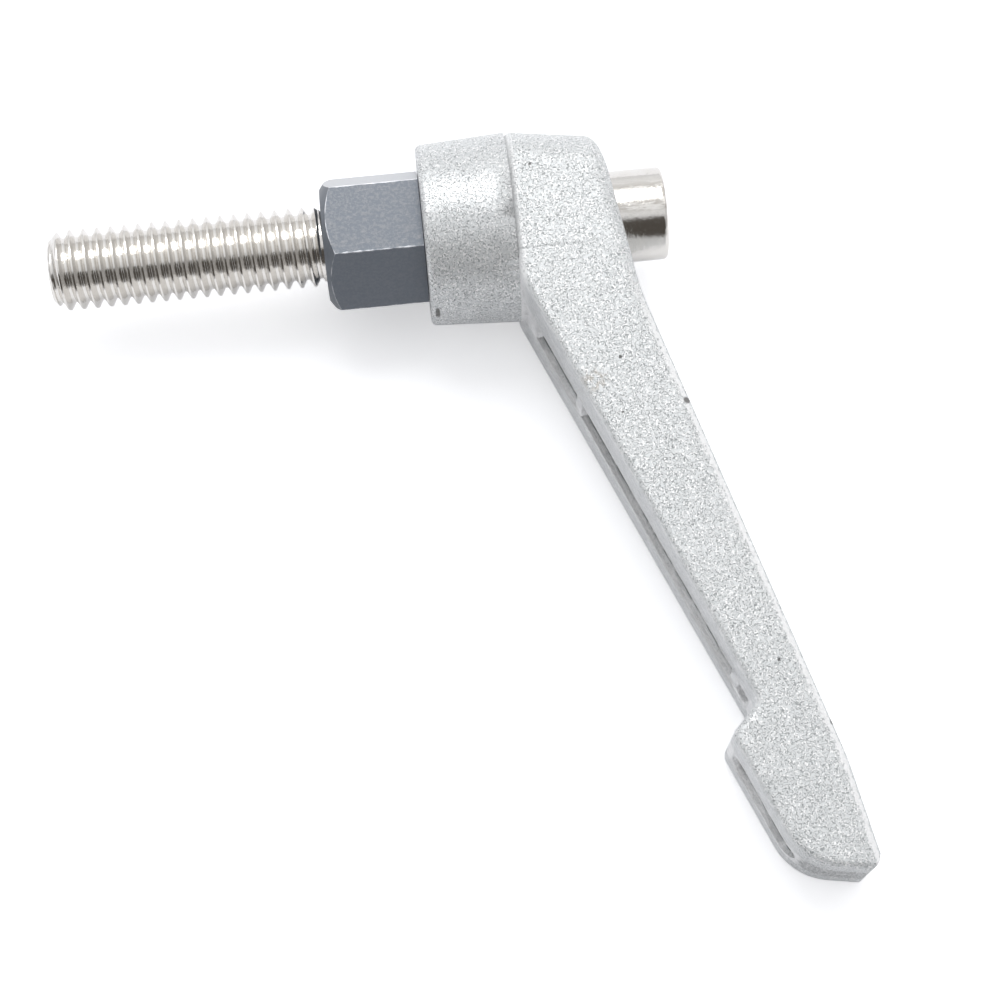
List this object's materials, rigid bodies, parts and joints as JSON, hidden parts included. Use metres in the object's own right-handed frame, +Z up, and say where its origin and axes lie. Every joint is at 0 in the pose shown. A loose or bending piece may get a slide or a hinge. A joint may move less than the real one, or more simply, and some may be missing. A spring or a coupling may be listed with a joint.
{
  "type": "adjustable clamping lever",
  "caption": "Adjustable clamping lever: cast arm and hub indexed by teeth on a hexagonal insert with a threaded stud, lifted against a spring to turn.",
  "frame": {"origin": "On the stud's axis, in the face of the hexagon that seats on the clamped part.", "axes": "The stud points along -X. +Z is up from the surface the lever lies on. The arm points along -Y and away from the stud, leaning down by about 3.5 degrees so that hub and toe both touch the surface."},
  "size_m": [0.0539, 0.0569, 0.0139],
  "materials": {
    "nickel_steel": "bright nickel plate",
    "black_steel": "black oxide, worn bright at the edges",
    "spring_steel": "plain drawn wire",
    "hammertone_silver": "silver hammertone powder coat on a zinc casting"
  },
  "bodies": {
    "clamp_stud": {"threaded_stud": "nickel_steel", "hex_insert": "black_steel", "retaining_screw": "nickel_steel"},
    "spring": {"compression_spring": "spring_steel"},
    "lever": {"lever_handle": "hammertone_silver"}
  },
  "joints": [
    {"name": "index_turn", "type": "hinge", "parent": "clamp_stud", "child": "spring", "pos_m": [0.0105, 0, 0], "axis": [1, 0, 0], "continuous": true},
    {"name": "lift", "type": "slide", "parent": "spring", "child": "lever", "axis": [1, 0, 0], "range_m": [0, 0.0026], "stiffness_N_per_m": 520, "springref_m": -0.005, "deforming": ["compression_spring"]}
  ]
}
